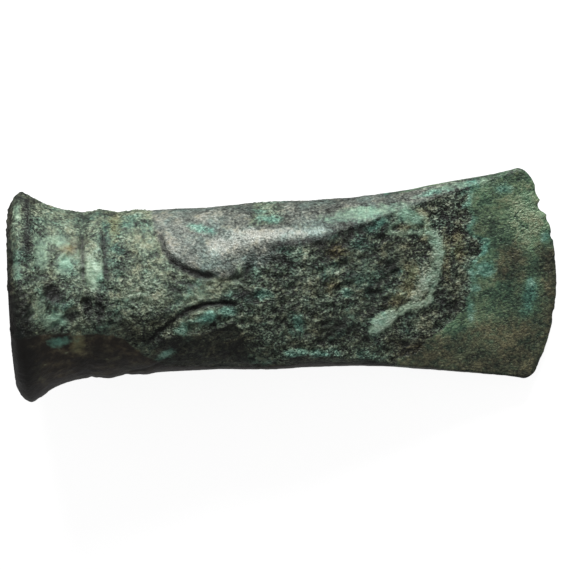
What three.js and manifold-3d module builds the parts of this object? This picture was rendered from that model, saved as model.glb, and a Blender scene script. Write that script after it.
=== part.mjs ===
// A late Bronze Age socketed axe head: one hollow bronze casting with a thick trumpet collar, low
// ribs below it, a pair of wing-shaped panels on each broad face, and a flared blade with a worn,
// chipped cutting edge. Millimetres. It lies on a broad face, as it does on a shelf.
import * as THREE from 'three';
import { LoftGeometry } from 'three/addons/geometries/LoftGeometry.js';
import { mergeVertices } from 'three/addons/utils/BufferGeometryUtils.js';
import Module from 'manifold-3d';

const { lerp, radToDeg, smoothstep } = THREE.MathUtils;

// Driving dimensions. The axe is drawn along x, from its mouth at 0 to the middle of its cutting
// edge, with y across the blade and z through its thickness, and is laid down at the end.
const length = 120;
const edgeRadius = 51;
const cornerRadius = 2.6;
const collarCrest = 3;
const neckEnd = 46;
const bladeStart = 64;
const wingStart = 29;
const waist = 49;
const wingEnd = 62;
const wingStep = 0.7;
const wingBorder = 0.8;
const bowStart = 70;
const socketDepth = 68;
const thinnestSide = 0.3;
const restFlat = 0.35;
const chips = [
  { x: 118.2, y: 15.2, radius: 1.6 },
  { x: 119.0, y: 17.9, radius: 2.5 },
];

// A size that changes smoothly along the axe, through [distance from the mouth, size] knots.
function along(...knots) {
  const curve = new THREE.CubicInterpolant(knots.map((k) => k[0]), knots.map((k) => k[1]), 1);
  return (x) => curve.evaluate(x)[0];
}

const halfWidth = along(
  [0, 20], [1, 22], [2, 23], [collarCrest, 23.35], [5, 22.4], [7, 21.1], [9, 20], [12, 19.1],
  [16, 18.5], [26, 18.25], [40, 18.05], [waist, 18.5], [60, 18.7], [75, 18.9], [84, 19.6],
  [90, 20.5], [97, 21.5], [105, 22.45], [112, 23.3], [117, 24.15], [length, 24.6],
);
const halfDepth = along(
  [0, 18.4], [1, 20.4], [2, 21.3], [collarCrest, 21.6], [5, 20.7], [7, 19.4], [9, 18.4],
  [12, 17.5], [16, 16.9], [30, 16.1], [42, 15], [56, 13.2], [bladeStart, 12.1], [72, 10.4],
  [79, 8.8], [85, 7.1], [97, 4.2], [109, 1.95], [117, 0.85], [119, 0.6], [length, 0],
);
// The sharp line between a broad face and a narrow side of the blade, and how far the broad face
// is crowned above it. Nearer the mouth the same line is the border of a wing panel.
const arris = along(
  [0, 14.5], [20, 13.2], [wingStart, 17.3], [32, 16.9], [34.6, 12.2], [37.3, 10.4], [40.6, 8.6],
  [43.4, 7.2], [47.5, 5.2], [waist, 5], [51.2, 8], [55, 11.2], [bladeStart, 12.8], [72, 14.5],
  [79, 16], [85, 17.7], [92, 19.1], [97, 20.3], [105, 21.7], [112, 23.1], [length, 24.2],
);
const crown = along([0, 0.9], [bladeStart, 0.9], [97, 0.5], [117, 0.2], [119, 0.1], [length, 0]);

// Low ribs round the neck: [place, half length, height], a groove where the height is negative.
const ribs = [[16.4, 1.2, -0.3], [20.4, 2.8, 0.4], [24.2, 1.2, -0.25], [28.6, 2.6, 0.25]];
const bump = (t) => (Math.abs(t) < 1 ? (1 + Math.cos(Math.PI * t)) / 2 : 0);
const ribHeight = (x) => ribs.reduce((sum, [at, half, high]) => sum + high * bump((x - at) / half), 0);

// Towards the edge the cross-sections bow forward, until the last one is the curved cutting edge.
const sag = (y) => edgeRadius - Math.sqrt(edgeRadius ** 2 - y ** 2);
const bow = (x) => (Math.max(0, x - bowStart) / (length - bowStart)) ** 2;
const cornerCut = (x) => {
  const past = Math.max(0, x - (length - cornerRadius));
  return cornerRadius - Math.sqrt(cornerRadius ** 2 - past ** 2);
};

// One cross-section: round in the neck and four-sided, with slightly domed sides, in the blade.
const webSteps = 12;
const sideSteps = 16;
function section(x) {
  const w = halfWidth(x) + ribHeight(x) - cornerCut(x);
  const d = halfDepth(x) + ribHeight(x);
  const line = Math.min(arris(x), w - thinnestSide);
  const square = smoothstep(x, neckEnd, bladeStart);
  const lineDepth = d - crown(x);
  const lineAngle = Math.acos(line / w);
  const step = wingStep * smoothstep(x, wingStart, wingStart + 3) * (1 - smoothstep(x, waist, wingEnd));
  const face = (y) => {
    const round = d * Math.sqrt(1 - (y / w) ** 2);
    const domed = lineDepth + (d - lineDepth) * (1 - (y / line) ** 2);
    const z = lerp(round, domed, square);
    return z - step * (0.4 + 0.6 * Math.abs(y / line));
  };
  const side = (t) => {
    const angle = t * lineAngle;
    const y = lerp(w * Math.cos(angle), line + (w - line) * (1 - t * t), square);
    const z = lerp(d * Math.sin(angle), lineDepth * t, square);
    return [y, z];
  };
  const half = [];
  for (let i = 0; i <= sideSteps; i++) {
    half.push(side((2 * i) / sideSteps - 1));
  }
  for (let i = 0; i <= webSteps; i++) {
    const y = (line - wingBorder) * (1 - (2 * i) / webSteps);
    half.push([y, face(y)]);
  }
  const turned = half.map(([y, z]) => [-y, -z]);
  return [...half, ...turned].map(([y, z]) => new THREE.Vector3(x - bow(x) * sag(y), y, z));
}

// Cross-sections stand closest together where the outline turns quickly.
function spaced(from, to, count) {
  return Array.from({ length: count }, (_, i) => from + ((to - from) * i) / count);
}
const stations = [
  0, 0.4, 1, 2, 3, 4, 5, 6, 7.5, 9, 11, 13, 15,
  ...spaced(15.6, 24, 12), ...spaced(24, 32, 5), ...spaced(32, 52, 11), ...spaced(52, 64, 5),
  ...spaced(64, 112, 12), ...spaced(112, 117, 2), 117, 117.9, 118.7, 119.3, 119.7, 119.9, length,
];

// The socket for the haft: oval, narrowing evenly to a rounded end inside the blade.
const socketWidth = along([-1, 15.4], [30, 14.2], [56, 11.8], [63, 9.4], [66.5, 5.8], [socketDepth, 2.4]);
const socketHeight = along([-1, 13.8], [30, 12.6], [56, 8.6], [63, 6.2], [66.5, 3.8], [socketDepth, 1.6]);
const socketStations = [-1, ...spaced(10, 55, 5), 55, 60, 63, 65, 66.5, 67.5, socketDepth];
function oval(x) {
  const steps = 36;
  return Array.from({ length: steps }, (_, i) => {
    const angle = (2 * Math.PI * i) / steps;
    return new THREE.Vector3(x, socketWidth(x) * Math.cos(angle), socketHeight(x) * Math.sin(angle));
  });
}

const wasm = await Module();
wasm.setup();

function toSolid(geometry) {
  const bare = new THREE.BufferGeometry();
  bare.setAttribute('position', geometry.attributes.position);
  bare.setIndex(geometry.index);
  const welded = mergeVertices(bare, 1e-4);
  const corners = welded.index.array;
  const triangles = [];
  for (let i = 0; i < corners.length; i += 3) {
    const [a, b, c] = corners.slice(i, i + 3);
    if (a !== b && b !== c && c !== a) triangles.push(a, b, c);
  }
  return new wasm.Manifold(new wasm.Mesh({
    numProp: 3,
    vertProperties: new Float32Array(welded.attributes.position.array),
    triVerts: new Uint32Array(triangles),
  }));
}

function toGeometry(solid) {
  const mesh = solid.getMesh();
  const geometry = new THREE.BufferGeometry();
  geometry.setAttribute('position', new THREE.BufferAttribute(mesh.vertProperties, 3));
  geometry.setIndex(new THREE.BufferAttribute(mesh.triVerts, 1));
  return geometry;
}

let casting = toSolid(new LoftGeometry(stations.map(section), { capStart: true }));
const socket = toSolid(new LoftGeometry(socketStations.map(oval), { capStart: true, capEnd: true }));
casting = casting.subtract(socket);
for (const { x, y, radius } of chips) {
  const chip = new THREE.CylinderGeometry(radius, radius, 8, 20).rotateX(Math.PI / 2).translate(x, y, 0);
  casting = casting.subtract(toSolid(chip));
}

// Lying down, it rests on the collar and on the thick root of the blade. A flat spot is worn on
// both, so that it doesn't roll.
const restAngle = Math.atan2(halfDepth(collarCrest) - halfDepth(bladeStart), bladeStart - collarCrest);
casting = casting.rotate([0, radToDeg(restAngle), 0]);
const lowest = casting.boundingBox().min[2];
casting = casting.trimByPlane([0, 0, 1], lowest + restFlat);

const geometry = toGeometry(casting);
geometry.computeBoundingBox();
const { min, max } = geometry.boundingBox;
geometry.translate(-(min.x + max.x) / 2, -(min.y + max.y) / 2, -min.z);

const bronze = new THREE.MeshStandardMaterial({ color: 0x58645a, roughness: 0.62, metalness: 0.35 });
const axe = new THREE.Mesh(geometry, bronze);
axe.name = 'axe_head';

const group = new THREE.Group();
group.add(axe);

export default group;
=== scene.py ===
# %% [markdown]
# # A Bronze Age socketed axe head
#
# This lesson builds the look of one object: the cast bronze head of an axe, hollow at the back for
# a wooden haft and flared at the front into a blade. It lay in the ground for three thousand years,
# so its form is simple and its skin is not: crusts, pits, worn ornament, chips and a patchwork of
# green, brown and turquoise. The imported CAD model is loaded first, and gives the true size and place.

# %% Load the frame
import math

import bmesh
import bpy
import numpy as np
from mathutils import Matrix, Vector, noise


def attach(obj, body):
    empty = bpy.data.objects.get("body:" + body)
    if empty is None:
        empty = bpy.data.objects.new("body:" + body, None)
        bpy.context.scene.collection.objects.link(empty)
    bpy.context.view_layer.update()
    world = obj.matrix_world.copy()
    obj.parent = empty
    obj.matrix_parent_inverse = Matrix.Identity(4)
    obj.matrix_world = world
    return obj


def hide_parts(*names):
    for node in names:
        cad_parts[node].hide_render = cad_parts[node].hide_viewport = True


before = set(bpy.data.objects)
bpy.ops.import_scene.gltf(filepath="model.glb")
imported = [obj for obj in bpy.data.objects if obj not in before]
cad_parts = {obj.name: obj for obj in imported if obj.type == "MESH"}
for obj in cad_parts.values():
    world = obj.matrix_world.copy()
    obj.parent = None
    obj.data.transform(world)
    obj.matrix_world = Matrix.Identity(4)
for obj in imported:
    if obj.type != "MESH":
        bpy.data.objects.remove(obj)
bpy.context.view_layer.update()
MM = 0.001

# %% [markdown]
# ## The casting's main sizes
#
# A founder thinks of this axe along its length: a thick collar round the mouth, a round neck, and
# a blade with four sides. So every size is a smooth curve along the axis, drawn through a few
# knots. x runs from the mouth to the cutting edge, y across the blade and z through its thickness.
# All of it is in millimetres, and is turned to metres once, at the end.

# %% Sizes along the axe
LENGTH = 120.0
EDGE_RADIUS = 51.0
CORNER_RADIUS = 2.6
COLLAR_CREST = 3.0
NECK_END = 46.0
BLADE_START = 64.0
BOW_START = 70.0
WAIST = 49.0
SOCKET_DEPTH = 68.0
ARRIS_INSET = 0.3
REST_FLAT = 0.35


def along(*knots):
    """A size that changes smoothly along the axe, through (place, size) knots."""
    places, sizes = np.array(knots, float).T
    slopes = np.empty_like(sizes)
    slopes[1:-1] = (sizes[2:] - sizes[:-2]) / (places[2:] - places[:-2])
    slopes[0] = (sizes[1] - sizes[0]) / (places[1] - places[0])
    slopes[-1] = (sizes[-1] - sizes[-2]) / (places[-1] - places[-2])

    def size(x):
        x = np.clip(x, places[0], places[-1])
        i = np.clip(np.searchsorted(places, x) - 1, 0, len(places) - 2)
        step = places[i + 1] - places[i]
        t = (x - places[i]) / step
        start = (2 * t**3 - 3 * t**2 + 1) * sizes[i] + (t**3 - 2 * t**2 + t) * step * slopes[i]
        end = (3 * t**2 - 2 * t**3) * sizes[i + 1] + (t**3 - t**2) * step * slopes[i + 1]
        return start + end

    return size


def ramp(x, start, end):
    """0 before start, 1 after end, and a soft S between them."""
    t = np.clip((x - start) / (end - start), 0, 1)
    return t * t * (3 - 2 * t)


half_width = along(
    (0, 20), (1, 22), (2, 23), (COLLAR_CREST, 23.35), (5, 22.4), (7, 21.1), (9, 20), (12, 19.1),
    (16, 18.5), (26, 18.25), (40, 18.05), (WAIST, 18.5), (60, 18.7), (75, 18.9), (84, 19.6),
    (90, 20.5), (97, 21.5), (105, 22.45), (112, 23.3), (117, 24.15), (LENGTH, 24.6),
)
half_depth = along(
    (0, 18.4), (1, 20.4), (2, 21.3), (COLLAR_CREST, 21.6), (5, 20.7), (7, 19.4), (9, 18.4),
    (12, 17.5), (16, 16.9), (30, 16.1), (42, 15), (56, 13.2), (BLADE_START, 12.1), (72, 10.4),
    (79, 8.8), (85, 7.1), (97, 4.2), (109, 1.95), (117, 0.85), (119, 0.6), (LENGTH, 0),
)
arris = along(
    (0, 16.5), (20, 15.4), (46, 15), (56, 13.6), (BLADE_START, 12.8), (72, 14.5), (79, 16),
    (85, 17.7), (92, 19.1), (97, 20.3), (105, 21.7), (112, 23.1), (LENGTH, 24.2),
)
crown = along((0, 0.9), (BLADE_START, 0.9), (97, 0.5), (117, 0.2), (119, 0.1), (LENGTH, 0))
socket_width = along((-1, 15.4), (30, 14.2), (56, 11.8), (63, 9.4), (66.5, 5.8), (SOCKET_DEPTH, 2.4))
socket_height = along((-1, 13.8), (30, 12.6), (56, 8.6), (63, 6.2), (66.5, 3.8), (SOCKET_DEPTH, 1.6))
print("collar:", 2 * float(half_width(COLLAR_CREST)), "mm across")
print("blade:", 2 * float(half_width(LENGTH)), "mm across")

# %% [markdown]
# ## One cross-section
#
# The neck is oval and the blade has two broad faces and two narrow sides, which meet in a sharp
# line, the arris. Between them the shape fades from one to the other. The neck also carries low
# ribs, drawn as raised cosines, because a cast rib has no sharp corner.

# %% Cross-sections
RIBS = ((16.4, 1.2, -0.3), (20.4, 2.8, 0.4), (24.2, 1.2, -0.25), (28.6, 2.6, 0.25))
FACE_COLUMNS = 88
SIDE_COLUMNS = 52


def rib_height(x):
    """How far the ribs stand out at x."""
    total = 0.0
    for place, half_length, height in RIBS:
        t = (x - place) / half_length
        if abs(t) < 1:
            total += height * (1 + math.cos(math.pi * t)) / 2
    return total


def sag(y):
    """How far the curved cutting edge falls back from its middle, at y."""
    return EDGE_RADIUS - np.sqrt(EDGE_RADIUS**2 - y**2)


def section(x):
    """The outline at x, once round: a narrow side, a broad face, the other side, the other face."""
    past = max(0.0, x - (LENGTH - CORNER_RADIUS))
    width = half_width(x) + rib_height(x) - (CORNER_RADIUS - math.sqrt(CORNER_RADIUS**2 - past**2))
    depth = half_depth(x) + rib_height(x)
    line = min(arris(x), width - ARRIS_INSET)
    line_depth = depth - crown(x)
    square = ramp(x, NECK_END, BLADE_START)

    t = np.linspace(-1, 1, SIDE_COLUMNS, endpoint=False)
    angle = t * math.acos(line / width)
    side_y = (1 - square) * width * np.cos(angle) + square * (line + (width - line) * (1 - t * t))
    side_z = (1 - square) * depth * np.sin(angle) + square * line_depth * t

    t = np.linspace(-1, 1, FACE_COLUMNS, endpoint=False)
    face_y = -line * t
    face_round = depth * np.sqrt(1 - (face_y / width) ** 2)
    face_domed = line_depth + (depth - line_depth) * (1 - t * t)
    face_z = (1 - square) * face_round + square * face_domed

    y = np.concatenate([side_y, face_y])
    z = np.concatenate([side_z, face_z])
    return np.concatenate([y, -y]), np.concatenate([z, -z])


def socket_section(x):
    """The oval inside the socket at x, with its points beside those of the outer cross-section."""
    y, z = section(0)
    angle = np.arctan2(z / half_depth(0), y / half_width(0))
    return socket_width(x) * np.cos(angle), socket_height(x) * np.sin(angle)


COLUMNS = 2 * (FACE_COLUMNS + SIDE_COLUMNS)
TOP_COLUMN = SIDE_COLUMNS + FACE_COLUMNS // 2
print("points round one cross-section:", COLUMNS)

# %% [markdown]
# ## The skin as one sheet
#
# Inside and outside are one continuous skin: from the cutting edge back to the collar, over the
# rim, and down into the socket. So the skin is laid out as a table with a row for each place along
# that path and a column for each place round it. Rows stand about 0.4 mm apart where the surface
# shows, which is fine enough for pits and worn ornament, and wide apart inside the socket.

# %% Lay out the skin
outer_rows = np.concatenate([
    LENGTH - np.array([0, 0.1, 0.3, 0.6, 1.0, 1.4]),
    np.arange(118.2, 24, -0.43), np.arange(24, 2, -0.4), [1.6, 1.2, 0.8, 0.5, 0.25, 0],
])
rim_rows = np.linspace(0, 1, 8)[1:]
socket_rows = np.concatenate([np.linspace(0, 60, 30)[1:], [62, 64, 65.5, 66.7, 67.5, SOCKET_DEPTH]])

rows = []
for x in outer_rows:
    y, z = section(x)
    bow = (max(0.0, x - BOW_START) / (LENGTH - BOW_START)) ** 2
    rows.append(np.stack([x - bow * sag(y), y, z], axis=1))
mouth_outer = rows[-1]
y, z = socket_section(0)
mouth_inner = np.stack([np.zeros(COLUMNS), y, z], axis=1)
for t in rim_rows:
    rows.append((1 - t) * mouth_outer + t * mouth_inner)
for x in socket_rows:
    y, z = socket_section(x)
    rows.append(np.stack([np.full(COLUMNS, x), y, z], axis=1))
rows.append(np.tile([SOCKET_DEPTH + 0.5, 0, 0], (COLUMNS, 1)))
skin = np.array(rows)
ROWS = len(skin)
print("rows:", ROWS, "triangles:", 2 * (ROWS - 1) * COLUMNS)


def outward(points):
    """The unit normal at each point of the table."""
    down = np.gradient(points, axis=0)
    wrapped = np.concatenate([points[:, -1:], points, points[:, :1]], axis=1)
    around = (wrapped[:, 2:] - wrapped[:, :-2]) / 2
    normal = np.cross(down, around)
    length = np.linalg.norm(normal, axis=2, keepdims=True)
    return normal / np.maximum(length, 1e-9)


normal = outward(skin)
X, Y, Z = skin[..., 0], skin[..., 1], skin[..., 2]
row_number = np.arange(ROWS)[:, None] * np.ones((1, COLUMNS))
outside = (row_number < len(outer_rows)).astype(float)
NECK_ROW = 200
print("outward on top of the neck:", normal[NECK_ROW, TOP_COLUMN].round(2))

# %% [markdown]
# A place on the skin is easiest to name on the skin unrolled: x along the axe, and the girth, which
# is the distance walked round from the middle line of the upper face, positive towards +y.

# %% Unroll the skin
ring = np.concatenate([skin, skin[:, :1]], axis=1)
steps = np.linalg.norm(np.diff(ring, axis=1), axis=2)
walked = np.cumsum(steps, axis=1) - steps
walked = walked[:, TOP_COLUMN, None] - walked
once_round = steps.sum(axis=1)[:, None]
GIRTH = np.where(walked < -once_round / 2, walked + once_round, walked)
print("once round the neck:", round(float(once_round[NECK_ROW, 0]), 1), "mm")

# %% [markdown]
# ## Tools for weathering
#
# Corrosion has no outline that could be drawn, so it is made from noise: smooth random hills for
# the slow unevenness of a casting, sharp crags for a crumbling crust, and round cells for pits.
# Noise is read in space, so it runs on over the arris and has no seam. A stain or a worn line is an
# oval or a path on the unrolled skin, kept as an inset: how many mm a point lies inside its edge.


# %% Noise
def hills(size, octaves=3, seed=0.0):
    """Random hills and hollows of that size in mm, about -1 to 1."""
    shift = Vector((seed, 7.3 * seed, -3.1 * seed))
    flat = [noise.fractal(Vector(p) + shift, 1.0, 2.0, octaves) for p in skin.reshape(-1, 3) / size]
    return np.array(flat).reshape(ROWS, COLUMNS)


def crags(size, octaves=3, seed=0.0):
    """Sharp crests that size in mm apart, with an average of 0 and a spread of 1."""
    shift = Vector((seed, -4.7 * seed, 2.9 * seed))
    flat = np.array([
        noise.ridged_multi_fractal(Vector(p) + shift, 1.0, 2.0, octaves, 1.0, 2.0)
        for p in skin.reshape(-1, 3) / size
    ])
    flat = np.clip((flat - flat.mean()) / flat.std(), -2.5, 2.5)
    return flat.reshape(ROWS, COLUMNS)


def pits(size, reach=0.55, seed=0.0):
    """Round pits about that many mm apart: 1 in the middle of each, 0 beyond that share of size."""
    shift = Vector((seed, -2.7 * seed, 5.9 * seed))
    flat = [noise.voronoi(Vector(p) + shift)[0][0] for p in skin.reshape(-1, 3) / size]
    return np.clip(1 - np.array(flat).reshape(ROWS, COLUMNS) / reach, 0, 1)


slow = hills(9.0, 2, seed=1)
wavy = hills(3.2, 3, seed=2)
grain = hills(0.9, 2, seed=3)
crumble = crags(2.0, 3, seed=5)
pitted = pits(1.6, seed=4)
for name, field in (("slow", slow), ("wavy", wavy), ("grain", grain), ("crumble", crumble)):
    print(name, "runs from", round(float(field.min()), 2), "to", round(float(field.max()), 2))


# %% Ovals and strokes
def oval(x, girth, half_x, half_girth, turn=0):
    """The inset of an oval stain, turned by that many degrees."""
    cos, sin = math.cos(math.radians(turn)), math.sin(math.radians(turn))
    u = (X - x) * cos + (GIRTH - girth) * sin
    v = (GIRTH - girth) * cos - (X - x) * sin
    return (1 - np.hypot(u / half_x, v / half_girth)) * min(half_x, half_girth)


def distance_to(path):
    """The distance to a path of (x, girth) points."""
    nearest = np.full(X.shape, 1e3)
    for (ax, ag), (bx, bg) in zip(path, path[1:]):
        dx, dg = bx - ax, bg - ag
        t = np.clip(((X - ax) * dx + (GIRTH - ag) * dg) / (dx * dx + dg * dg), 0, 1)
        nearest = np.minimum(nearest, np.hypot(X - ax - t * dx, GIRTH - ag - t * dg))
    return nearest


def stroke(half, *path):
    """The inset of a band of that half width along a path."""
    return half - distance_to(path)


def together(*insets):
    """Several stains as one, on the outside only."""
    return np.where(outside > 0, np.clip(np.maximum.reduce(insets), -1.5, 1.5), -1.5)


def filled(inset, softness=0.35):
    """A mask from an inset: 1 inside, 0 outside, and soft across the edge."""
    return outside * ramp(inset, -softness, softness)


def ridge(distance, half):
    """A round-topped ridge, or groove, of that half width."""
    return np.exp(-((distance / half) ** 2))


upper = (Z > 0) * outside
lower = (Z <= 0) * outside

# %% [markdown]
# ## The wings
#
# The ornament copies an older kind of axe, whose edges were hammered round the haft as wings. Here
# they are only cast in relief: two smooth panels, with a sunken field between them that is narrow
# at the waist. Each border is a line across the face, y as a function of x, so a point's distance
# from it is the difference in y, less where the line runs steeply. Grooves follow the borders: they
# are cut into the relief and darkened with painted shade.

# %% Wing panels
WING_STEP = 0.5
LOWER_STEP_SHARE = 0.8
upper_wing = along(
    (22, 18.4), (29, 18), (31.7, 16.9), (34.6, 11.9), (37.3, 9.5), (40.6, 7.8), (43.4, 7.1),
    (47.5, 6.4), (WAIST, 6.3), (51.2, 8.2), (55, 11.2), (60, 13.2), (66, 15), (72, 18),
)
lower_wing = along(
    (22, 18.4), (25, 18), (28, 13.5), (30, 8.4), (32, 6.4), (35.5, 5.7), (40.2, 5.8), (43.9, 5.2),
    (47.6, 3.7), (49.6, 3.9), (52, 8), (56, 11.8), (60, 13.2), (66, 15), (72, 18),
)


def inside_of(border, y):
    """How far a point lies inside the field from a wing's border, in mm."""
    slope = (border(X + 0.1) - border(X - 0.1)) / 0.2
    return (border(X) - y) / np.sqrt(1 + slope**2)


def sunken(inset):
    """The field's depth beside a wing: a step down, which rises again away from it."""
    return WING_STEP * ramp(inset, -0.4, 0.7) * (1 - 0.65 * ramp(inset, 1.2, 6))


along_wing = ramp(X, 28, 32.5) * (1 - ramp(X, 47.5, 56))
inset_top = inside_of(upper_wing, Y)
inset_low = inside_of(lower_wing, -Y)
inset_back = inside_of(upper_wing, np.abs(Y))
field_front = np.minimum(inset_top, inset_low)
wings = -along_wing * (upper * sunken(field_front) + lower * LOWER_STEP_SHARE * sunken(inset_back))

# %% Grooves beside the wings
UPPER_GROOVE = (
    (32.2, 22.2), (33.3, 17.5), (34.3, 13.9), (35.8, 11.4), (37.5, 9.9), (39.1, 8.9), (40.6, 8.1),
    (42.2, 7.6), (43.7, 7.3), (45.2, 7.2), (46.7, 7.3),
)
LOWER_GROOVE = (
    (29.6, -7.4), (31.8, -5.3), (34.3, -3.1), (36.1, -1.7), (39.1, -0.1), (41.2, 0.5), (43.4, 0.8),
    (46.4, 0.8), (49, 0.3),
)
LOWEST_GROOVE = ((24.9, -18.1), (29.2, -16.4), (32.6, -14), (36.5, -9.7), (42.9, -6.3), (48.5, -4.7))
SCRATCH = ((29.2, 19.4), (30.5, 15.9), (31.8, 14.4), (33.1, 12.2))
SWELLING = ((31.5, -9), (35.5, -4.6), (40.5, -2.4), (47.5, -1.6))
SWELLING_HEIGHT = 0.34

# Each groove is a path, half its width and its depth.
grooves = (
    (UPPER_GROOVE, 0.7, 0.6 * ramp(X, 31, 36) * (1 - 0.7 * ramp(X, 43, 47))),
    (LOWER_GROOVE, 0.6, 0.35 + 0.4 * ramp(X, 37, 41)),
    (LOWEST_GROOVE, 0.45, 0.22),
    (SCRATCH, 0.35, 0.2),
)
# This mask marks the grooves, for painted shade in the colour.
groove_shade = np.zeros((ROWS, COLUMNS))
for path, half, depth in grooves:
    here = ridge(distance_to(path), half * (1 + 0.45 * wavy))
    wings -= depth * here
    groove_shade = np.maximum(groove_shade, here * np.minimum(1, 2 * depth))
wings += SWELLING_HEIGHT * ridge(distance_to(SWELLING), 1.6)
print("deepest point of the ornament, mm:", round(float(wings.min()), 2))

# %% [markdown]
# ## Where the metal is crusted, and where it is smooth
#
# The last 20 mm of the blade kept its ground surface, and the corroded skin behind it ends in a
# ragged shore. On the blade's middle a curved band of the old surface still stands proud of the
# pits. The narrow sides and the outer faces of the wings were sheltered and are the smoothest. All
# along one side of the axe the skin is a smooth brown, dark partly from its patina and partly from
# painted shade, and on that side the sheltered skin is given darker shades as painted shade too.

# %% Ground blade
shore = along(
    (-24, 79), (-16.5, 85.3), (-12.9, 91.6), (-9.1, 96), (-5.6, 99.2), (-0.9, 101), (2.5, 100.8),
    (4.4, 101.1), (6.1, 103.2), (8.8, 103.7), (11, 100.6), (14, 101.5), (16.6, 100.5), (19.9, 101.3),
    (24, 102),
)
shore_inset = X - shore(np.where(Z > 0, Y, -Y)) + (0.9 + 1.6 * ramp(-Y, 4, 12)) * wavy + 0.5 * grain
blade = together(shore_inset)
from_edge = np.full(ROWS, 99.0)
from_edge[: len(outer_rows)] = LENGTH - outer_rows
from_edge = from_edge[:, None]
browned = together(
    np.minimum(X - 84, -9.5 - Y - 3 * ramp(X, 104, 96)) + 1.5 * slow,
    np.minimum(3.4 - from_edge, 6 - Y) + wavy,
    oval(109.8, 3, 4.5, 5) - 0.6,
)

# %% Sheltered sides, and the smooth underside with painted shade
SHOULDER = (
    (46, 13.6), (49, 14.8), (52.4, 15.2), (55.4, 15.4), (59.3, 15.4), (63.6, 15.2), (68.3, 15.2),
)
arris_y = arris(X)
narrow_side = np.minimum(np.abs(Y) - arris_y, (X - 60) / 3)
beyond_wing = 8 * (1 - along_wing)
wing_skin = np.where(Z > 0, -inset_top, -inset_back) - beyond_wing
# The stroke along the shoulder keeps the painted highlight there in the sheltered skin's greys.
shelters = [narrow_side, wing_skin, oval(54, 11.5, 5, 3.2), stroke(2.8, *SHOULDER)]
sheltered = together(np.minimum(np.maximum.reduce(shelters), Y))
# The same sheltered skin on the lower side, given darker shades as painted shade.
lower_side_shaded_skin = together(np.minimum(np.maximum(narrow_side, -inset_low - beyond_wing), -Y))
# The smooth brown along the lower side: partly brown patina, partly painted shade.
brown_shade_edge = along(
    (0, -2.6), (9, -2.9), (14, -3.9), (20.5, -4.4), (23.6, -6), (25.7, -7.6), (28.8, -11.3),
    (33, -15.6), (38, -17), (42.5, -18.2), (50, -18.4), (62, -17.6), (80, -18.6), (100, -22),
    (LENGTH, -26),
)
BROWN_SHADE_FAR_EDGE = -46
brown_shade_inset = np.minimum(brown_shade_edge(X) - GIRTH, GIRTH - BROWN_SHADE_FAR_EDGE + 5 * slow)
underside_brown_and_shade = together(brown_shade_inset + 0.9 * wavy)

# %% Old surface left standing on the blade
BAND = (
    (82.9, -6.6), (85.5, -5.2), (88.1, -4.3), (90.4, -3.9), (91.5, -3), (92.4, -0.4), (93.3, 1.8),
    (93.8, 4.9), (94.1, 7.1), (93.9, 9.4), (93, 11), (91.8, 12.4),
)
HOOK = ((84.9, 15.3), (83.6, 14.2), (83.3, 13), (85.8, 12.6), (87.9, 12.5), (90, 11.9))
TAN_ARC = ((90, 16.8), (91.5, 14.8), (91.7, 12.6), (90.9, 10.8))
ribbon = np.maximum(stroke(0.9, *BAND), stroke(1.25, *BAND[7:11])) + 0.45 * wavy + 0.3 * grain
inner_patch = stroke(1.5, (92.8, 5), (91.9, 2), (90.4, -0.8), (88.8, -2.8)) + 0.6 * wavy
leaf = oval(81, -7, 3.8, 2, 36) + 0.2 * grain
top_patch = oval(88.1, 15.8, 3.1, 1.5, -22) + 0.2 * grain
proud = together(
    ribbon, inner_patch, leaf, top_patch, stroke(0.45, *HOOK), stroke(0.8, *TAN_ARC) + 0.4 * wavy,
)
print("share of the skin on the ground blade:", round(float((blade > 0).mean()), 2))

# %% [markdown]
# ## Stains
#
# The copper carbonates grew in spots: pale mint where they are powdery, turquoise where they are
# dense. Soil and iron left ochre and brown, and the hollows kept black oxide; the dark strokes in
# the grooves and under the arris are painted shade. Each kind of stain is one list of ovals and
# strokes, and its edge is made ragged later, in the material.

# %% Stains on the unrolled skin
along_shore = np.minimum(0.7 - np.abs(shore_inset - 0.55), 0.6 * slow + 0.3 - 2 * ramp(-Y, 4, 9))
mint = together(
    ribbon - 0.1, inner_patch - 1.1, leaf, top_patch, stroke(0.5, *HOOK),
    oval(7.6, 15.5, 1.5, 3.8, 6), oval(18.5, 9.6, 2.1, 3.2), oval(12.3, 11.5, 1.6, 2.2, 20),
    oval(10, -0.3, 2.6, 1.4), oval(11.5, 18, 3, 1, -15), oval(77.8, 18.7, 8, 2), oval(99, 22.4, 5, 1),
    stroke(0.6, (2.4, 29.5), (2.5, 25)), stroke(0.6, (2.3, 14.5), (2.6, 11)),
)
turquoise = together(
    along_shore,
    oval(10.8, -5.2, 2.2, 1), oval(33.4, -11.3, 2.1, 1.1, 40), oval(37.6, -4.2, 2, 1.2, 25),
    oval(43, -2.2, 2.4, 1, 12), oval(47, -1.2, 1.8, 1.3), oval(42.5, 18.6, 2.6, 1.1, -25),
    # The spots at x 62 and x 67.5, on the lower arris, are painted glints in turquoise.
    oval(55, 2, 1.6, 1), oval(57.5, 19.9, 2.3, 1.2), oval(62, -12.5, 2.4, 1.1),
    oval(62.3, -4.6, 1, 2.2, 20), oval(67.5, -13, 2.6, 1), oval(73.4, 0.5, 1, 0.7),
    oval(81, 15.4, 2, 0.9, 20), oval(93.6, 21.2, 3.2, 0.9), oval(100.4, -6, 1, 2.4),
    oval(104, 2.4, 2.4, 2), oval(108.8, 20.4, 1.6, 1), oval(113.8, -4.5, 1.5, 4.2, -15),
    oval(118, 8.5, 1, 1.2),
)
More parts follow.
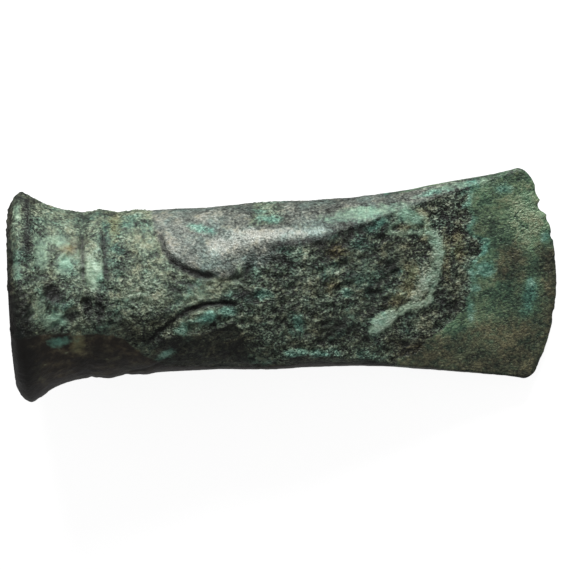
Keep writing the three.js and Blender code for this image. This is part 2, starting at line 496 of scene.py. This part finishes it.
ochre = together(
    stroke(0.9, *TAN_ARC),
    oval(1, -24, 1.4, 2.4), oval(13.7, 16.4, 1.4, 1.8), oval(14.4, -6.6, 1.4, 2.4),
    oval(23.5, 22.5, 1.2, 4.2), oval(70.4, 2.6, 1.6, 0.8, 25), oval(71.8, 9.9, 2, 1.6),
    oval(84.5, -2.5, 3, 1.2, 40), oval(87.2, 13.9, 2.6, 1), oval(87.3, 1.6, 1.5, 4, -12),
    oval(95.5, 6.5, 1.1, 4.5), oval(98.5, 8, 1.4, 4.5),
)
# Black oxide in the deep pits, and painted shade along the grooves, between the ribs and under the arris.
soot_and_shade = together(
    oval(9.8, 5.9, 1.7, 2.6, 30), oval(13.6, 0.3, 1.6, 1.1), oval(17.1, 1.8, 1.1, 3.4),
    oval(19.5, 1.5, 1.1, 3.6), oval(51, 2.5, 2.2, 1), oval(52, 8, 1, 3, -20),
    oval(59.5, 9.5, 2.6, 1, -20),
    stroke(0.8, (4.3, 33), (5, 24), (4.6, 16)), stroke(0.4, (16.4, 19), (16.4, 7.5)),
    stroke(0.55, (20.8, 19), (21.3, 13), (21.5, 8.5)),
    stroke(0.35, *UPPER_GROOVE[1:4]), stroke(0.8, *UPPER_GROOVE[3:9]) + 0.3 * wavy,
    stroke(0.4, *LOWER_GROOVE[:5]), stroke(0.6, *LOWER_GROOVE[4:]),
    # A painted shadow line under the arris.
    stroke(0.4, (57, 12.6), (64, 13.4), (72, 14.2), (80, 15.4)),
)
for name, stain in (("mint", mint), ("turquoise", turquoise), ("ochre", ochre), ("soot", soot_and_shade)):
    print("share of the skin under", name, round(float((stain > 0).mean()), 3))

# %% [markdown]
# ## Relief
#
# The skin is now moved along its own normal. First the slow unevenness that any casting has, then
# the crust: it is sunk a little below the old surface, crumbled, and eaten by pits of one to two
# millimetres. A few deep pits stand alone, most of them on the collar and between the ribs.

# %% Crust and pits
# Each deep pit is its x, its girth and its radius.
DEEP_PITS = (
    (9.8, 5.9, 1.6), (13.6, 0.7, 1.5), (17.2, 2.6, 1.4), (17.3, 0.4, 1.2), (19.5, 1.4, 1.5),
    (55.8, 6.5, 1), (73, 6.5, 1.1),
)
DEEP_PIT_DEPTH = 0.55
RIB_GROOVES = (16.4, 21.2)
RIB_GROOVE_DEPTH = 0.32
PROUD_HEIGHT = 0.14
UNEVENNESS = 0.16
smooth = filled(blade) + 0.8 * filled(sheltered) + 0.85 * filled(underside_brown_and_shade) + filled(proud)
smooth = np.clip(smooth + 0.5 * filled(lower_side_shaded_skin), 0, 1)
crusted = outside * (1 - smooth)
blade_middle = ramp(X, 48, 56) * (1 - ramp(X, 92, 100)) * ramp(arris_y - np.abs(Y), 0, 3)
lumps = hills(4.5, 2, seed=6)
casting_relief = UNEVENNESS * slow * outside
crumbs = 0.14 * crumble + 0.13 * grain - 0.22 * pitted * (0.6 + 0.4 * wavy)
relief = casting_relief + wings
relief += crusted * (-0.12 + 0.16 * wavy + crumbs + 0.3 * blade_middle * lumps)
relief += smooth * outside * (0.04 * wavy + 0.025 * grain + 0.015 * crumble)
relief += PROUD_HEIGHT * filled(proud, 0.5)
for x, girth, radius in DEEP_PITS:
    relief -= DEEP_PIT_DEPTH * filled(oval(x, girth, radius, radius), 0.6)
upper_side = outside * ramp(GIRTH, 5, 9) * (1 - ramp(GIRTH, 22, 30))
for place in RIB_GROOVES:
    relief -= RIB_GROOVE_DEPTH * upper_side * ridge(X - place - 0.15 * wavy, 0.38)
into_socket = (1 - outside) * ramp(row_number, len(outer_rows) + 8, len(outer_rows) + 12)
relief += into_socket * (0.25 * slow + 0.12 * wavy)
print("relief from", round(float(relief.min()), 2), "to", round(float(relief.max()), 2), "mm")

# %% [markdown]
# The relief fades out over the last few millimetres, where the blade is too thin for it. There the
# edge itself is worn back a little everywhere, and has lost a few chips.

# %% Move the skin and chip the edge
# Each chip is its y, half its length and its depth.
CHIPS = (
    (15.2, 1.9, 1.2), (18.2, 2.2, 0.55), (12.4, 1.0, 0.3), (8.4, 1.2, 0.35), (3.2, 0.9, 0.2),
    (-9.5, 1.1, 0.2),
)
RELIEF_FADE = 3.5
worked = skin + normal * (relief * ramp(from_edge, 0, RELIEF_FADE))[..., None]
wear = 0.16 * np.abs(hills(1.4, 2, seed=9)) + 0.25 * np.abs(hills(5.0, 2, seed=8))
for y, half_length, depth in CHIPS:
    wear += depth * ramp(np.abs(Y - y), half_length, 0.2 * half_length)
worked[..., 0] -= wear * ramp(from_edge, 7, 0)
print("deepest chip, mm:", round(float((wear * (from_edge <= 0)).max()), 2))

# %% [markdown]
# ## Lay the axe down
#
# The axe lies on its collar and on the thick root of its blade, so it is tilted by the angle
# between them. A flat spot is worn on both: everything below the ground is pressed up to it.

# %% From the drawing's axes to the shelf
REST_ANGLE = math.atan2(
    float(half_depth(COLLAR_CREST) - half_depth(BLADE_START)), BLADE_START - COLLAR_CREST
)
tilt = np.array(Matrix.Rotation(REST_ANGLE, 3, "Y"))
plain = skin @ tilt.T
centre_x = (plain[..., 0].min() + plain[..., 0].max()) / 2
ground = plain[..., 2].min() + REST_FLAT


def laid_down(points):
    """Points of the drawing, in mm, as they lie on the shelf, in metres."""
    return (points @ tilt.T - np.array([centre_x, 0, ground])) * MM


placed = laid_down(worked)
placed[..., 2] = np.maximum(placed[..., 2], 0)
print("tilted by", round(math.degrees(REST_ANGLE), 2), "degrees")

# %% [markdown]
# ## Shade and contrast
#
# Two more fields steer the colours. Pale says how light the crust is, which grows paler towards the
# collar, and it also carries painted highlight, glints and shade. Speckle says how strong its
# contrast of crests and hollows is.

# %% Patches of shading
# The patches at x 33.4, 64 and 65 on the lower side are painted light: a turquoise spot made brighter where
# the light falls off, and glints along the lower arris.
# Each patch is its strength, its oval and the softness of its edge.
PALE_PATCHES = (
    (-0.05, (13.7, 16.4, 3.4, 3.4), 1.5), (0.07, (18.5, 9.6, 2.4, 3.4), 1),
    (0.16, (33.4, -11.3, 2, 1.2), 0.6), (0.07, (64, -15.5, 15, 3.5), 1.5),
    (0.06, (65, -12.9, 5, 1.6), 1), (0.07, (88, 1.5, 4.5, 6.5), 2), (0.05, (96.5, 14.5, 4.5, 5), 1.5),
    (0.04, (107, 18, 6, 5), 2), (0.15, (113.5, 14, 5, 6.5), 2),
)
# The patch at x 66 speckles the painted glints on the lower arris.
SPECKLED_PATCHES = (
    (0.5, (5, 24, 2.5, 12), 1), (-0.4, (13.7, 16.4, 3.4, 3.4), 1.5), (0.5, (66, -13, 7, 2), 1),
    (0.8, (96.5, 14.5, 4.5, 5), 1.5),
)


def shaded(patches):
    """The sum of several soft oval patches."""
    return sum(strength * filled(oval(*shape), softness) for strength, shape, softness in patches)


# %% How pale
# The spot at x 33.4 is made paler as painted light.
pale_spots = together(
    leaf, oval(33.4, -11.3, 2.3, 1.4), oval(64, 9.9, 2.8, 1.8, -20), oval(70.6, 6, 1.8, 0.9, -15),
)
pale = (0.075 * ramp(X, 52, 40) - 0.05 * ramp(X, 17, 14)) * ramp(GIRTH, -6, 4)
pale += 0.012 * crumble * crusted + 0.09 * np.clip(relief - wings - UNEVENNESS * slow, -0.5, 0.5)
pale += 0.08 * filled(turquoise, 0.6) + 0.15 * filled(proud) + 0.14 * filled(pale_spots)
pale += shaded(PALE_PATCHES)
# Painted shade darkens the grooves.
pale -= 0.02 * blade_middle + 0.22 * groove_shade
# The lower side's sheltered skin is darkened as painted shade.
pale -= 0.1 * filled(lower_side_shaded_skin, 1) + 0.05 * filled(sheltered, 1)
pale -= ramp(X, 7, 3) * (0.06 + 0.19 * ramp(GIRTH, 12, 3))
pale -= 0.09 * ramp(-Y, 15, 23) * ramp(X, 100, 114)
print("pale runs from", round(float(pale.min()), 2), "to", round(float(pale.max()), 2))

# %% How speckled
LEAST_SPECKLE = 0.12
speckle = 1 + shaded(SPECKLED_PATCHES) + 0.12 * blade_middle + crusted * (0.45 * slow + 0.2 * wavy)
speckle += 0.3 * ramp(X, 89, 95) - 0.15 * ramp(X, 50, 42)
speckle *= 1 - 0.35 * filled(mint, 0.6) - 0.3 * filled(oval(76, 8, 3, 6), 2)
calm_blade = filled(blade) * (1 - 0.8 * filled(oval(113.5, 13, 4, 6), 2))
speckle *= 1 - 0.45 * calm_blade - 0.75 * filled(underside_brown_and_shade)
speckle = np.maximum(speckle, LEAST_SPECKLE)
print("speckle runs from", round(float(speckle.min()), 2), "to", round(float(speckle.max()), 2))

# %% [markdown]
# The shoulder, where the upper wing turns into the narrow side, was worn most. It is the glossiest
# place, and it is painted paler: partly its polished high points, partly a painted highlight.

# %% Gloss and painted highlight
shoulder_polish_and_highlight = filled(np.maximum(stroke(2.1, *SHOULDER[:3]), stroke(1.2, *SHOULDER[2:])), 1.3)
dull = np.clip(0.55 + 0.45 * crusted - 0.8 * shoulder_polish_and_highlight, 0, 1)
# Paler on the shoulder: polished high points and a painted highlight.
pale += 0.31 * shoulder_polish_and_highlight
speckle *= 1 - 0.05 * shoulder_polish_and_highlight

# %% [markdown]
# ## Roll the sheet up
#
# A flat grid with one vertex for each place in the table is the sheet. Its vertices are sent to
# their places, with the fields stored beside them as attributes for the material. The sheet's two
# long sides meet along one seam, its end at the cutting edge folds together, and its other end
# closes the socket, so merging the doubles leaves one closed skin.

# %% Make the piece
sheet = bmesh.new()
bmesh.ops.create_grid(sheet, x_segments=ROWS - 1, y_segments=COLUMNS, size=0.5)
mesh = bpy.data.meshes.new("axe_skin")
sheet.to_mesh(mesh)
sheet.free()
flat = np.empty(len(mesh.vertices) * 3)
mesh.vertices.foreach_get("co", flat)
flat = flat.reshape(-1, 3)
row_of = np.rint((flat[:, 0] + 0.5) * (ROWS - 1)).astype(int)
column_of = np.rint((flat[:, 1] + 0.5) * COLUMNS).astype(int) % COLUMNS
mesh.vertices.foreach_set("co", placed[row_of, column_of].ravel())

fields = {
    "blade": blade, "browned": browned, "sheltered": sheltered, "underside_brown_and_shade": underside_brown_and_shade,
    "lower_wing": lower_side_shaded_skin, "mint": mint, "turquoise": turquoise, "ochre": ochre, "soot_and_shade": soot_and_shade,
    "pale": pale, "speckle": speckle, "dull": dull,
    "socket": np.where(outside > 0, 1.2 - X + 0.4 * wavy, 1.5),
}
for name, values in fields.items():
    layer = mesh.attributes.new(name, "FLOAT", "POINT")
    layer.data.foreach_set("value", values[row_of, column_of].astype(np.float32))

sheet = bmesh.new()
sheet.from_mesh(mesh)
bmesh.ops.remove_doubles(sheet, verts=sheet.verts, dist=0.002 * MM)
bmesh.ops.dissolve_degenerate(sheet, edges=sheet.edges, dist=0.001 * MM)
open_edges = sum(not e.is_manifold for e in sheet.edges)
volume = sheet.calc_volume(signed=True)
sheet.to_mesh(mesh)
print("open edges:", open_edges, "volume, cm3:", round(volume * 1e6, 2), "faces:", len(sheet.faces))
sheet.free()
mesh.shade_smooth()
axe_head = bpy.data.objects.new("axe_skin", mesh)
bpy.context.scene.collection.objects.link(axe_head)
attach(axe_head, "root")
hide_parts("axe_head")

# %% [markdown]
# ## Patina
#
# Under the skin the metal is tin bronze, but what the eye meets is its patina: black oxide next to
# the metal, grey-green and mint copper carbonates over it, brown and ochre where soil and iron
# stained it. It is dull on the crust and has a soft gloss where the skin is sound. One sum of noises
# serves both as the tone of the crust and as its bump, so that crests are pale and hollows dark.


# %% Node tools
def srgb(code):
    """An sRGB hex colour as the linear colour that a shader wants."""
    channels = [int(code[i : i + 2], 16) / 255 for i in (1, 3, 5)]
    return [c / 12.92 if c <= 0.04045 else ((c + 0.055) / 1.055) ** 2.4 for c in channels] + [1.0]


patina = bpy.data.materials.new("green_bronze_patina")
patina.use_nodes = True
tree = patina.node_tree
tree.nodes.clear()


def add(kind, inputs=None, output=0, shades=(), **settings):
    """A node with its settings, inputs as values or links, and shades on a ramp; gives one output."""
    node = tree.nodes.new(kind)
    for name, value in settings.items():
        setattr(node, name, value)
    for key, value in (inputs or {}).items():
        if isinstance(value, bpy.types.NodeSocket):
            tree.links.new(value, node.inputs[key])
        else:
            node.inputs[key].default_value = srgb(value) if isinstance(value, str) else value
    for number, (place, code) in enumerate(shades):
        ramp_stops = node.color_ramp.elements
        stop = ramp_stops[number] if number < 2 else ramp_stops.new(place)
        stop.position = place
        stop.color = srgb(code)
    return node.outputs[output] if node.outputs else node


# %% [markdown]
# The sizes of the noises are those of the crust: clouds of colour, flakes, crumbs and grit. The
# finest real grit is under 0.2 mm, too fine to show, so it is drawn at 0.45 mm. The flakes lie a
# little longer along the axe than across it.

# %% Tone of the crust
where = add("ShaderNodeTexCoord", output="Object")
flaky = add("ShaderNodeMapping", {"Vector": where, "Scale": (0.85, 1.0, 1.0)})


def layered(*layers):
    """A sum of noises, each with its size in mm and its weight, centred on 0; and each by itself."""
    total, single = -0.5 * sum(weight for _, weight in layers), []
    for size, weight in layers:
        single.append(add("ShaderNodeTexNoise", {
            "Vector": flaky, "Scale": 1 / (size * MM), "Detail": 2.5, "Roughness": 0.62,
        }, output="Fac"))
        total = add("ShaderNodeMath", {0: single[-1], 1: weight, 2: total}, operation="MULTIPLY_ADD")
    return total, single


CLOUD, FLAKE, CRUMB, GRIT = 8.0, 2.8, 1.1, 0.45
coarse, (_, flake) = layered((CLOUD, 0.6), (FLAKE, 0.5))
fine, (crumb, _) = layered((CRUMB, 0.5), (GRIT, 0.95))

# %% [markdown]
# Crust grows as small nodules with dark clefts between them, which is what the distance to the
# nearest of scattered points looks like. The points are pushed about by noise, so no cell is round.

# %% Nodules
NODULE = 0.8
PUSH = 0.9
NODULE_TONE = 0.11
push = add("ShaderNodeTexNoise", {"Vector": where, "Scale": 1 / (PUSH * MM), "Detail": 2}, output="Color")
pushed = add("ShaderNodeVectorMath", {0: push, 1: [PUSH * MM] * 3, 2: flaky}, operation="MULTIPLY_ADD")
cleft = add("ShaderNodeTexVoronoi", {"Vector": pushed, "Scale": 1 / (NODULE * MM)}, output="Distance")
nodule = add("ShaderNodeMapRange", {
    "Value": cleft, "From Min": 0.9, "From Max": 0.0, "To Min": -NODULE_TONE, "To Max": NODULE_TONE,
})
fine = add("ShaderNodeMath", {0: fine, 1: nodule}, operation="ADD")

# %% Tone
speckle_field = add("ShaderNodeAttribute", output="Fac", attribute_name="speckle")
pale_field = add("ShaderNodeAttribute", output="Fac", attribute_name="pale")
middle = add("ShaderNodeMath", {0: pale_field, 1: 0.5}, operation="ADD")
middle = add("ShaderNodeMath", {0: middle, 1: coarse}, operation="ADD")
tone = add("ShaderNodeMath", {0: fine, 1: speckle_field, 2: middle}, operation="MULTIPLY_ADD")

# %% Crust colours
HUE_SIZE = 6
grey_green = add("ShaderNodeValToRGB", {"Fac": tone}, shades=(
    (0.2, "#11140f"), (0.86, "#c0cdc0"), (0.36, "#2a302a"), (0.5, "#505d51"), (0.64, "#7e907d"),
))
olive = add("ShaderNodeValToRGB", {"Fac": tone}, shades=(
    (0.2, "#13140f"), (0.86, "#b9c2ac"), (0.36, "#2b3026"), (0.5, "#545c4a"), (0.64, "#808a74"),
))
sea_green = add("ShaderNodeValToRGB", {"Fac": tone}, shades=(
    (0.2, "#0d1714"), (0.86, "#b0cfc0"), (0.36, "#21332e"), (0.5, "#456057"), (0.64, "#739486"),
))
hue = add("ShaderNodeTexNoise", {
    "Vector": where, "Scale": 1 / (HUE_SIZE * MM), "Detail": 6, "Roughness": 0.62, "Distortion": 0.4,
}, output="Fac")
toward_olive = add("ShaderNodeMapRange", {"Value": hue, "From Min": 0.48, "From Max": 0.38, "To Max": 0.55})
toward_sea = add("ShaderNodeMapRange", {"Value": hue, "From Min": 0.54, "From Max": 0.68, "To Max": 0.7})
colour = add("ShaderNodeMix", {"Factor": toward_olive, 6: grey_green, 7: olive}, output=2, data_type="RGBA")
colour = add("ShaderNodeMix", {"Factor": toward_sea, 6: colour, 7: sea_green}, output=2, data_type="RGBA")

# %% [markdown]
# Each finish then lies over the crust. Its field says how many mm inside the stain a point is, and
# noise is added to that before it is cut off, so that the edge is ragged. Its colour is a short
# ramp of its own over the same tone, so that the grain of the skin runs on through the stain.


# %% Finishes over the crust
edge_noise = add("ShaderNodeMath", {0: flake, 1: crumb}, operation="ADD")


def lay_over(colour, name, ragged, soft, strength, *shades):
    """A finish laid over the colours, where its field and some noise are above zero."""
    field = add("ShaderNodeAttribute", output="Fac", attribute_name=name)
    inset = add("ShaderNodeMath", {0: edge_noise, 1: ragged, 2: field}, operation="MULTIPLY_ADD")
    amount = add("ShaderNodeMapRange", {
        "Value": inset, "From Min": ragged - soft, "From Max": ragged + soft, "To Max": strength,
    })
    finish = add("ShaderNodeValToRGB", {"Fac": tone}, shades=shades)
    return add("ShaderNodeMix", {"Factor": amount, 6: colour, 7: finish}, output=2, data_type="RGBA")


# Each finish is its field, how ragged and how soft its edge is in mm, its strength and its shades.
FINISHES = (
    ("sheltered", 1.5, 0.7, 0.9,
     (0.25, "#20231f"), (0.78, "#b2b5b3"), (0.42, "#565c58"), (0.56, "#777d79")),
    # Darker shades than the sheltered skin above: painted shade on the lower side.
    ("lower_wing", 1.5, 0.7, 0.8, (0.25, "#11140f"), (0.78, "#788070"), (0.5, "#353b31")),
    # Near-black brown: partly brown patina, partly painted shade.
    ("underside_brown_and_shade", 1.2, 0.3, 0.95, (0.3, "#0d0703"), (0.75, "#473626"), (0.5, "#21150b")),
    ("blade", 0.6, 0.25, 1.0,
     (0.25, "#1f2a24"), (0.78, "#a3b497"), (0.42, "#4b604f"), (0.56, "#708a6c")),
    ("browned", 6.0, 1.6, 0.85, (0.3, "#211f18"), (0.75, "#8c8365"), (0.5, "#575141")),
    ("ochre", 2.0, 0.7, 0.8, (0.3, "#2b2418"), (0.75, "#a39c7c"), (0.5, "#736c4c")),
    ("mint", 2.8, 0.7, 0.92, (0.25, "#475b50"), (0.8, "#b9cfbe"), (0.46, "#6c8576"), (0.6, "#8fa994")),
    ("turquoise", 2.4, 0.6, 0.8,
     (0.25, "#152e29"), (0.8, "#a4d6c8"), (0.45, "#3c6960"), (0.6, "#639588")),
    # Black oxide in the pits, and painted shade in the grooves and under the arris.
    ("soot_and_shade", 1.6, 0.5, 0.97, (0.3, "#0b0c0a"), (0.8, "#59615a"), (0.55, "#1b1e1b")),
    ("socket", 1.0, 0.5, 0.8, (0.3, "#15120d"), (0.8, "#6b6651"), (0.5, "#34302a")),
)
for finish in FINISHES:
    colour = lay_over(colour, *finish)
tint = add("ShaderNodeValToRGB", {"Fac": hue}, shades=(
    (0.38, "#fffcf3"), (0.62, "#eafff9"), (0.5, "#f9fdf6"),
))
colour = add(
    "ShaderNodeMix", {"Factor": 1.0, 6: colour, 7: tint}, output=2, data_type="RGBA", blend_type="MULTIPLY",
)

# %% [markdown]
# The gloss follows the same places: sound skin shines softly, and crust is dull. The bump is the
# grain that is too small for the mesh.

# %% Gloss, grain and shader
GLOSSIEST = 0.22
DULLEST = 0.54
GLOSS_VARIATION = 0.3
GRAIN_HEIGHT = 0.5
dullness = add("ShaderNodeAttribute", output="Fac", attribute_name="dull")
rough = add("ShaderNodeMapRange", {"Value": dullness, "To Min": GLOSSIEST, "To Max": DULLEST})
rough = add("ShaderNodeMath", {0: crumb, 1: GLOSS_VARIATION, 2: rough}, operation="MULTIPLY_ADD")
rough = add("ShaderNodeMath", {0: rough, 1: GLOSS_VARIATION / 2}, operation="SUBTRACT")
grain_height = add("ShaderNodeMath", {0: fine, 1: speckle_field}, operation="MULTIPLY")
bump = add("ShaderNodeBump", {"Height": grain_height, "Strength": 1.0, "Distance": GRAIN_HEIGHT * MM})
shader = add("ShaderNodeBsdfPrincipled", {
    "Base Color": colour, "Roughness": rough, "Normal": bump, "Metallic": 0.1,
})
add("ShaderNodeOutputMaterial", {"Surface": shader})
mesh.materials.clear()
mesh.materials.append(patina)
print("patina nodes:", len(tree.nodes))

# %% [markdown]
# ## Table, light and camera
#
# The axe is shown on a plain pale table. The camera looks down on it, square to its long axis but
# turned a little about it, so that one narrow side shows along the top. The main light is a large
# soft one from that side, low enough to rake across the relief. The table glows, but is hidden from
# the light that the axe gathers, so the underside stays dark.

# %% Camera
ROLL = math.radians(17)
CAMERA_TWIST = math.radians(2.7)
VIEW_WIDTH = 125.7 * MM
VIEW_DISTANCE = 980 * MM
axis = Vector((math.cos(REST_ANGLE), 0, -math.sin(REST_ANGLE)))
face = Vector((math.sin(REST_ANGLE), 0, math.cos(REST_ANGLE)))
across = Vector((0, 1, 0))
toward = math.cos(ROLL) * face + math.sin(ROLL) * across
side_up = math.cos(ROLL) * across - math.sin(ROLL) * face
right = math.cos(CAMERA_TWIST) * axis - math.sin(CAMERA_TWIST) * side_up
top = math.cos(CAMERA_TWIST) * side_up + math.sin(CAMERA_TWIST) * axis
middle = Vector(laid_down(np.array([LENGTH / 2, 0, 0])))

lens = bpy.data.cameras.new("camera")
lens.sensor_width = 36
lens.lens = 36 * VIEW_DISTANCE / VIEW_WIDTH
lens.clip_start = 50 * MM
camera = bpy.data.objects.new("camera", lens)
turn = Matrix((right, top, toward)).transposed().to_4x4()
camera.matrix_world = Matrix.Translation(middle + VIEW_DISTANCE * toward) @ turn
bpy.context.scene.collection.objects.link(camera)
bpy.context.scene.camera = camera
print("lens:", round(lens.lens), "mm")


# %% Light and table
def soft_light(name, direction, distance, size, power):
    """A round lamp that shines on the axe from that direction."""
    lamp = bpy.data.lights.new(name, "AREA")
    lamp.shape = "DISK"
    lamp.size = size
    lamp.energy = power
    light = bpy.data.objects.new(name, lamp)
    light.matrix_world = Matrix.Translation(middle + direction.normalized() * distance) @ (
        direction.to_track_quat("Z", "Y").to_matrix().to_4x4()
    )
    bpy.context.scene.collection.objects.link(light)


KEY_ANGLE = math.radians(57)
KEY_DISTANCE = 900 * MM
KEY_SIZE = 600 * MM
KEY_POWER = 12
ROOM_LIGHT = 0.24
TABLE_GLOW = 0.85
TABLE_HALF = 1500 * MM
key_direction = math.cos(KEY_ANGLE) * toward + math.sin(KEY_ANGLE) * top
soft_light("main_light", key_direction, KEY_DISTANCE, KEY_SIZE, KEY_POWER)

world = bpy.data.worlds.new("room")
world.use_nodes = True
world.node_tree.nodes["Background"].inputs["Color"].default_value = (1, 1, 1, 1)
world.node_tree.nodes["Background"].inputs["Strength"].default_value = ROOM_LIGHT
bpy.context.scene.world = world
bpy.context.scene.view_settings.view_transform = "Standard"

table = bmesh.new()
bmesh.ops.create_grid(table, x_segments=1, y_segments=1, size=TABLE_HALF)
table_mesh = bpy.data.meshes.new("table")
table.to_mesh(table_mesh)
table.free()
opal = bpy.data.materials.new("opal_light_table")
opal.use_nodes = True
opal_shader = opal.node_tree.nodes["Principled BSDF"].inputs
opal_shader["Base Color"].default_value = srgb("#c8c8c8")
opal_shader["Roughness"].default_value = 0.9
opal_shader["Emission Color"].default_value = (1, 1, 1, 1)
opal_shader["Emission Strength"].default_value = TABLE_GLOW
table_mesh.materials.append(opal)
table_top = bpy.data.objects.new("table", table_mesh)
bpy.context.scene.collection.objects.link(table_top)
table_top.visible_diffuse = False
table_top.visible_glossy = False
